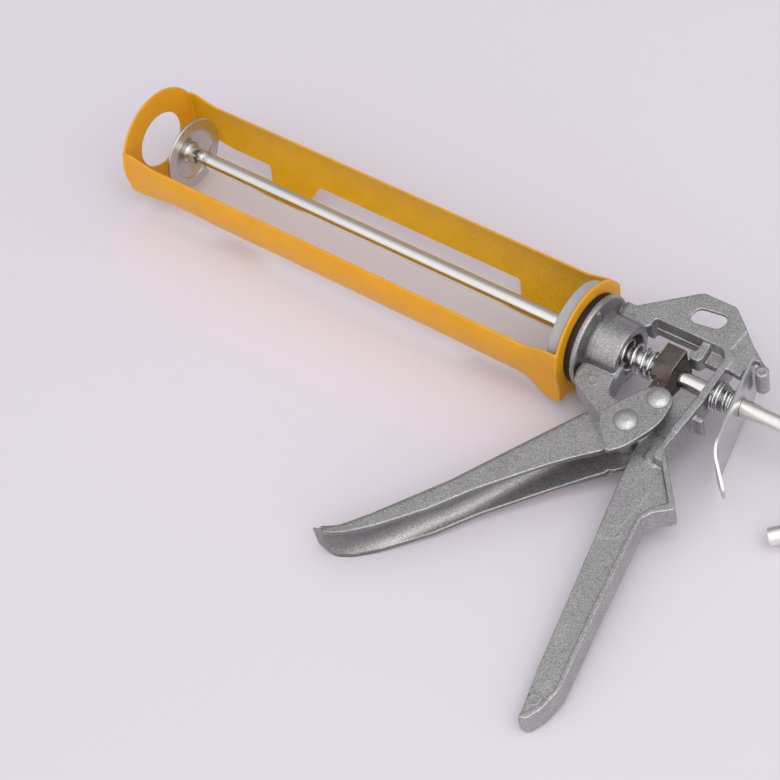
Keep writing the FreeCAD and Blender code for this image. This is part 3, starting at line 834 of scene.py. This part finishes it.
def makeTrigger():
    t = trigger
    head = slab("head", [(284.4, -36.4, 2), (294.4, -18.0, 8), (300.8, -11.4, 9), (309.8, -14.6, 8),
                         (311.2, -29.0, 26), (303.8, -46.2, 24), (297.4, -53.0, 3)],
                -t["head"], t["head"], 12)
    arm = slab("arm", [(279.6, -38.6, 0), (286.8, -40.4, 0), (299.0, -51.2, 4), (291.0, -59.2, 30),
                       (281.6, -69.4, 60), (260.1, -96.2, 60), (248.0, -114.2, 0), (232.4, -132.8, 40),
                       (223.5, -141.0, 14), (217.0, -144.9, 9), (208.6, -145.2, 3), (206.2, -143.8, 0.8),
                       (213.2, -142.2, 10), (218.4, -138.7, 14), (227.0, -127.4, 60), (247.5, -96.6, 0)],
               -t["grip"], t["grip"], 12)
    bevelWhere(arm, t["backRound"], 6, cheekEdges(outerSide))
    places = [100, 110, 118, 126, 134, 135.5, 137, 138.2, 139.2, 140.2, 141.5]
    slicedAt(arm, [alongArm * place for place in places], alongArm)
    narrowed(arm, t["grip"], [(0, t["grip"]), (100, t["grip"]), (126, 10.75), (134, 10.5), (135.5, 10.35),
                              (137, 10.0), (138.2, 9.5), (139.2, 9.1), (140.2, 8.9), (146, t["head"])])
    # the tip is rounded as seen from the handle
    outside = slabAcross("outside", [(236.0, 11.4, 0), (214.2, 10.5, 8), (206.2, 4.5, 5), (206.2, -4.5, 5),
                                     (214.2, -10.5, 8), (236.0, -11.4, 0), (236.0, -30, 0), (190.0, -30, 0),
                                     (190.0, 30, 0), (236.0, 30, 0)], -200, -90, "xzy", 10)
    cutAway(arm, [outside])
    hollow = slab("hollow", [(286.0, -30.0, 0), (294.0, -4, 0), (320.0, -2, 0), (320.0, -42.0, 0),
                             (240.0, -143.0, 0), (216.0, -158.0, 0), (180.0, -158.0, 0), (180.0, -146.6, 0),
                             (212.0, -144.4, 5), (219.0, -140.8, 10), (229.0, -129.2, 40), (249.8, -97.4, 0),
                             (282.3, -38.8, 3)], -t["gripInside"], t["gripInside"], 10)
    bevelWhere(hollow, t["floorRound"], 8, cheekEdges(innerSide))
    places = [4, 8, 12, 16, 20, 24, 28, 32, 100, 114, 122, 130, 138]
    slicedAt(hollow, [alongArm * place for place in places], alongArm)
    narrowed(hollow, t["gripInside"], [(8, 10.9), (16, 10.2), (24, 9.3), (32, t["gripInside"]),
                                       (114, t["gripInside"]), (138, t["inside"])])
    clear = slab("clear", [(287.2, -36.0, 3), (293.6, -8, 0), (320.0, -5, 0), (320.0, -47.0, 0),
                           (294.0, -52.0, 6)], -t["inside"], t["inside"])
    cutAway(arm, [hollow, clear], keep=True)
    cutAway(head, [hollow, clear])
    for place in (t["pivot"], t["drive"]):
        cutAway(head, [holeAcross(place, t["pin"])])
    shape = joined([head, arm])
    castTogether(shape, t["voxel"], t["smooth"])
    return settle(shape, "triggerCasting", "trigger", finishes["lever"], ["trigger"], angle=60)


makeTrigger()


def makeRivet(name, place, slotName):
    # low domed heads with a soft shoulder, on a plain shank
    outer, shank = trigger["head"], trigger["pin"]
    domed = [(outer, shank, 0), (outer, 5.3, 0), (outer + 0.35, 5.55, 0.5), (outer + 1.2, 4.7, 1.6),
             (outer + 2.1, 2.4, 3), (outer + 2.25, 0, 0)]
    mirrored = [(-x, radius, rounding) for x, radius, rounding in reversed(domed)]
    piece = turned(name, mirrored + domed, 64, 6)
    pick(piece)
    piece.matrix_world = Matrix.Translation((*place, 0)) @ Matrix.Rotation(-pi / 2, 4, "Y")
    placeForGood()
    return settle(piece, name, "trigger", finishes["rivet"], [slotName], angle=50)


makeRivet("pivotRivet", trigger["pivot"], "pivot_rivet")
makeRivet("driveRivet", trigger["drive"], "drive_rivet")

# drive jaw on the rod, and the plate behind it

jaw = {"x0": 290.2, "seam": 299.8, "x1": 303.4, "half": 6.0, "top": 10.8, "shoulder": -0.6, "legTop": -5.0,
       "legHalf": 2.2, "legLow": -20.6, "legFrom": 3.2, "footX": 300.1, "footTop": -9.6, "bevel": 1.2,
       "bore": 4.06, "backTop": 8.0, "backHalf": 5.2, "backLow": -9.2}


def backCorner(a, b):
    # top and side edges at the rear of the block
    return min(a.x, b.x) > jaw["seam"] - 0.01 and min(a.y, b.y) > jaw["legTop"] - 0.5 and a.z * b.z > 20


def makeJaw():
    j = jaw
    section = [(j["top"], j["half"], 0), (j["shoulder"], j["half"], 0), (j["legTop"], j["legHalf"], 0),
               (j["legTop"], -j["legHalf"], 0), (j["shoulder"], -j["half"], 0), (j["top"], -j["half"], 0)]
    head = slabAcross("head", section, j["x0"], j["seam"], "yzx")
    bevelWhere(head, j["bevel"], 3, backCorner)
    low, half = j["legLow"], j["legHalf"]
    leg = block("leg", (j["x0"] + j["legFrom"], low, -half), (j["seam"], j["legTop"] + 0.5, half))
    foot = block("foot", (j["seam"] - 1, low, -half), (j["footX"], j["footTop"], half))
    for part in (leg, foot):
        finishWith(head, "BOOLEAN", operation="UNION", object=part, solver="EXACT")
        bpy.data.objects.remove(part)
    cutAway(head, [roundBar("bore", (280, 0, 0), (310, 0, 0), j["bore"], 64)])
    castTogether(head, 0.16, 3, ripple=0, mostTriangles=90000)
    settle(head, "driveJaw", "drive", finishes["brown"], ["drive_block"])
    top, wide, low = j["backTop"], j["backHalf"], j["backLow"]
    back = [(top, wide, 1.4), (j["shoulder"], wide, 2), (low, half, 0.6), (low, -half, 0.6),
            (j["shoulder"], -wide, 2), (top, -wide, 1.4)]
    plate = slabAcross("plate", back, j["seam"] + 0.1, j["x1"], "yzx")
    cutAway(plate, [roundBar("bore", (280, 0, 0), (310, 0, 0), j["bore"], 64)])
    castTogether(plate, 0.14, 4, ripple=0, mostTriangles=60000)
    settle(plate, "jawBackPlate", "drive", finishes["dark"], ["jaw_plate"])


makeJaw()

# springs: spots give turns, place along the rod and radius

driveCoil = {"wire": 0.72, "start": 0.6, "steps": 26,
             "spots": [(0, 268.2, 7.4), (0.9, 269.7, 7.35), (2.0, 274.6, 7.1), (3.0, 279.4, 6.7),
                       (4.0, 284.2, 6.3), (4.7, 287.6, 6.1), (5.5, 289.1, 6.0)]}
returnCoil = {"wire": 0.68, "start": 2.2, "steps": 28,
              "spots": [(0, 320.8, 6.9), (1, 322.2, 6.9), (2, 323.8, 6.8), (2.5, 324.9, 6.2),
                        (3.0, 326.4, 5.2), (4.0, 328.0, 4.95), (5.0, 329.2, 4.9), (5.3, 329.4, 5.6)]}


def coilPoints(c):
    # even steps of turn, with the place and radius between the spots
    points = []
    last = c["spots"][-1][0]
    for k in range(int(last * c["steps"]) + 1):
        turn = k / c["steps"]
        for (t0, x0, r0), (t1, x1, r1) in zip(c["spots"], c["spots"][1:]):
            if turn <= t1:
                part = (turn - t0) / (t1 - t0)
                break
        x, r = x0 + (x1 - x0) * part, r0 + (r1 - r0) * part
        angle = 2 * pi * turn + c["start"]
        points.append((x, r * cos(angle), r * sin(angle)))
    return points


def makeSprings():
    d, r = driveCoil, returnCoil
    piece = coil("driveCoil", coilPoints(d), d["wire"])
    settle(piece, "driveCoil", "frame", finishes["wire"], ["drive_spring"], angle=60)
    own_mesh(piece)
    piece = coil("returnCoil", coilPoints(r), r["wire"])
    settle(piece, "returnCoil", "frame", finishes["wire"], ["release_spring"], angle=60)
    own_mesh(piece)


makeSprings()

# push rod with its pull hook, and the piston on its front end

rod = {"radius": 4.0, "front": 12.5, "neck": 3.0, "bendX": 381.0, "bendR": 16.0, "bendTurn": 141.0,
       "leg": 27.0, "chamfer": 0.8, "roll": 21.0}
piston = {"x": 17.5, "sheet": 1.2, "radius": 18.6, "rise": 3.0, "bore": 3.06, "collar": 5.6, "collarEnd": 3.4,
          "nut": 7.5, "nutHeight": 4.0}


def makeRod():
    # a disc drawn out along the rod, swept round the bend and on to the end of the hook
    r = rod
    start = piston["x"] + piston["sheet"]
    clearSelection()
    bpy.ops.mesh.primitive_circle_add(vertices=48, radius=r["radius"], fill_type="NGON",
                                      location=(start, 0, 0), rotation=(0, pi / 2, 0))
    bar = bpy.context.object
    placeForGood()
    bpy.ops.object.mode_set(mode="EDIT")
    bpy.ops.mesh.select_all(action="SELECT")
    bpy.ops.mesh.extrude_region_move(TRANSFORM_OT_translate={"value": (r["bendX"] - start, 0, 0)})
    roll = radians(r["roll"])
    down = Vector((0, -cos(roll), -sin(roll)))
    centre = Vector((r["bendX"], 0, 0)) + down * r["bendR"]
    axis = Vector((1, 0, 0)).cross(down)
    turn = radians(r["bendTurn"])
    bpy.ops.mesh.spin(steps=28, angle=turn, center=centre, axis=-axis)
    heading = Vector((cos(turn), 0, 0)) + down * sin(turn)
    for length in (r["leg"] - r["chamfer"], r["chamfer"]):
        bpy.ops.mesh.extrude_region_move(TRANSFORM_OT_translate={"value": heading * length})
    narrower = 1 - r["chamfer"] / r["radius"]
    bpy.ops.transform.resize(value=(narrower, narrower, narrower))
    bpy.ops.mesh.select_all(action="SELECT")
    bpy.ops.mesh.remove_doubles(threshold=nearAxis)
    facesOut()
    front, thin = r["front"], r["neck"]
    neck = turned("neck", [(front - 0.6, 0, 0), (front - 0.6, thin - 0.6, 0), (front, thin, 0),
                           (start + 0.5, thin, 0), (start + 0.5, 0, 0)], 48)
    piece = joined([bar, neck])
    return settle(piece, "pullRod", "rod", finishes["rod"], ["push_rod"], angle=40)


def makePiston():
    p = piston
    x, sheet, radius, bore = p["x"], p["sheet"], p["radius"], p["bore"]
    rimX = x + p["rise"]
    cup = turned("cup", [(x, bore, 0), (x, 7.4, 2.5), (x + 2.3, 12.6, 1.2), (rimX, 13.4, 0.6),
                         (rimX, radius, 0.3), (rimX + sheet, radius, 0.5), (rimX + sheet, 12.9, 0.35),
                         (x + 3.4, 12.2, 0.5), (x + sheet, 6.8, 2.5), (x + sheet, bore, 0)], 160, 8)
    settle(cup, "pistonCup", "piston", finishes["zinc"], ["piston_disc"], angle=50)
    end, wide, inside = x + p["collarEnd"], p["collar"], rod["radius"] + 0.06
    collar = turned("collar", [(x + sheet, inside, 0), (x + sheet, wide, 0.2), (x + 2.2, wide, 0.4),
                               (end, 4.5, 0.3), (end, inside, 0)], 64)
    settle(collar, "pistonStop", "rod", finishes["zinc"], ["piston_collar"])
    clearSelection()
    height = p["nutHeight"]
    bpy.ops.mesh.primitive_cylinder_add(vertices=6, radius=p["nut"], depth=height,
                                        location=(x - height / 2, 0, 0), rotation=(0, pi / 2, 0))
    nut = bpy.context.object
    placeForGood()
    crown = turned("crown", [(x - 4.2, 0, 0), (x - 4.2, 6.3, 0.2), (x - 3.1, 7.6, 0.2), (x + 0.2, 7.6, 0),
                             (x + 0.2, 0, 0)], 64)
    finishWith(nut, "BOOLEAN", operation="INTERSECT", object=crown, solver="EXACT")
    bpy.data.objects.remove(crown)
    cutAway(nut, [roundBar("bore", (x - 6, 0, 0), (x + 1, 0, 0), 3.04, 48)])
    finishWith(nut, "BEVEL", width=0.15, segments=2, limit_method="ANGLE", angle_limit=radians(35))
    settle(nut, "pistonNut", "rod", finishes["zinc"], ["piston_nut"])


makeRod()
makePiston()

# release plate, bent back at its lower end for the thumb

release = {"pivot": (329.2, 17.6), "tilt": 11.1, "half": 13.8, "thickness": 1.2, "bendStart": -45.7,
           "bend": 32.5, "bendR": 12.2, "hole": 4.5, "flatLength": 64.9, "tip": 3.0}


def makeReleasePlate():
    r = release
    t = r["thickness"] / 2
    width = r["half"]
    # flat strip seen from behind: y down its length, z across it
    end, taper = -r["flatLength"], r["bendStart"]
    strip = slabAcross("strip", [(0.3, width, 0.8), (0.3, -width, 0.8), (taper, -width, 7),
                                 (end, -r["tip"], 2.4), (end, r["tip"], 2.4), (taper, width, 7)],
                       -t, t, "yzx", 8)
    slicedAt(strip, [(0, taper - k * 0.5, 0) for k in range(39)], (0, 1, 0))
    holeY = -r["pivot"][1] / cos(radians(r["tilt"]))
    cutAway(strip, [roundBar("hole", (-3, holeY, 0), (3, holeY, 0), r["hole"], 64)])
    finishWith(strip, "BEVEL", width=0.28, segments=2, limit_method="ANGLE", angle_limit=radians(40))
    # the lower end is bent back about a round of bendR
    radius = r["bendR"]
    for vertex in strip.data.vertices:
        x, y, z = vertex.co
        past = taper - y
        if past > 0:
            angle = min(past / radius, radians(r["bend"]))
            rest = past - angle * radius
            spoke = radius - x
            vertex.co.x = radius - spoke * cos(angle) + rest * sin(angle)
            vertex.co.y = taper - spoke * sin(angle) - rest * cos(angle)
    strip.data.update()
    pick(strip)
    strip.matrix_world = (Matrix.Translation((r["pivot"][0], r["pivot"][1], 0))
                          @ Matrix.Rotation(radians(r["tilt"]), 4, "Z"))
    placeForGood()
    return settle(strip, "thumbPlate", "release", finishes["satin"], ["release_plate"])


makeReleasePlate()
print("pieces ready")

# camera, table and light

camera = {"place": (0.6330, -0.4270, 0.7799), "azimuth": 48.76, "elevation": 53.75, "roll": -16.54,
          "lens": 99.6, "shiftX": -0.0538, "shiftY": -0.0231}
studio = {"tilt": 6.8, "floorDrop": -0.0274, "floorMiddle": (0.2, 0.0), "floorSize": 6.0,
          "floorColor": (0.745, 0.706, 0.765, 1), "key": 10.5, "keySize": 1.6,
          "keyPlace": (1.05, -0.35, 1.75), "keyAim": (0.24, -0.03, 0), "light": (0.454, -0.454, 0.767),
          "glowFrom": 0.05, "glowFull": 0.7, "dark": 0.34, "bright": 1.16, "airColor": (0.97, 0.96, 0.98, 1)}


def addCamera():
    # turned by azimuth and elevation about the part, then rolled about its own line of sight
    azimuth, elevation = radians(camera["azimuth"]), radians(camera["elevation"])
    back = Vector((sin(azimuth) * cos(elevation), -cos(azimuth) * cos(elevation), sin(elevation)))
    right = Vector((cos(azimuth), sin(azimuth), 0))
    up = back.cross(right)
    turn = Matrix((right, up, back)).transposed().to_4x4() @ Matrix.Rotation(radians(camera["roll"]), 4, "Z")
    bpy.ops.object.camera_add()
    eye = bpy.context.object
    eye.matrix_world = Matrix.Translation(camera["place"]) @ turn
    eye.data.lens = camera["lens"]
    eye.data.shift_x, eye.data.shift_y = camera["shiftX"], camera["shiftY"]
    bpy.context.scene.camera = eye


def floorMaterial():
    material, n, shader, place = newMaterial("paleTable")
    cloud = n.noise(place, 3.0, 2.0)
    base = studio["floorColor"]
    color = n.mix(cloud, [c * 0.985 for c in base[:3]] + [1], base)
    shader.inputs["Specular IOR Level"].default_value = 0.25
    connect(n, shader, color, n.ramp(cloud, 0, 1, 0.55, 0.62))
    return material


def addStudio():
    clearSelection()
    bpy.ops.mesh.primitive_plane_add(size=studio["floorSize"])
    floor = bpy.context.object
    floor.name = "floor"
    tilt = radians(studio["tilt"])
    x, y = studio["floorMiddle"]
    floor.matrix_world = Matrix.Rotation(-tilt, 4, "X") @ Matrix.Translation((x, y, studio["floorDrop"]))
    floor.data.materials.append(floorMaterial())
    aim = Vector(studio["keyAim"]) - Vector(studio["keyPlace"])
    bpy.ops.object.light_add(type="AREA", location=studio["keyPlace"],
                             rotation=aim.to_track_quat("-Z", "Y").to_euler())
    lamp = bpy.context.object
    lamp.data.energy = studio["key"]
    lamp.data.size = studio["keySize"]
    world = bpy.data.worlds.new("studio")
    bpy.context.scene.world = world
    world.use_nodes = True
    n = Nodes(world.node_tree)
    heading = n.add("ShaderNodeTexCoord").outputs["Generated"]
    toLight = n.add("ShaderNodeVectorMath", {0: heading, 1: studio["light"]}, operation="DOT_PRODUCT")
    strength = n.ramp(toLight.outputs["Value"], studio["glowFrom"], studio["glowFull"],
                      studio["dark"], studio["bright"])
    background = world.node_tree.nodes["Background"]
    background.inputs[0].default_value = studio["airColor"]
    world.node_tree.links.new(strength, background.inputs[1])
    bpy.context.scene.view_settings.view_transform = "Standard"


addCamera()
addStudio()
print("studio ready")
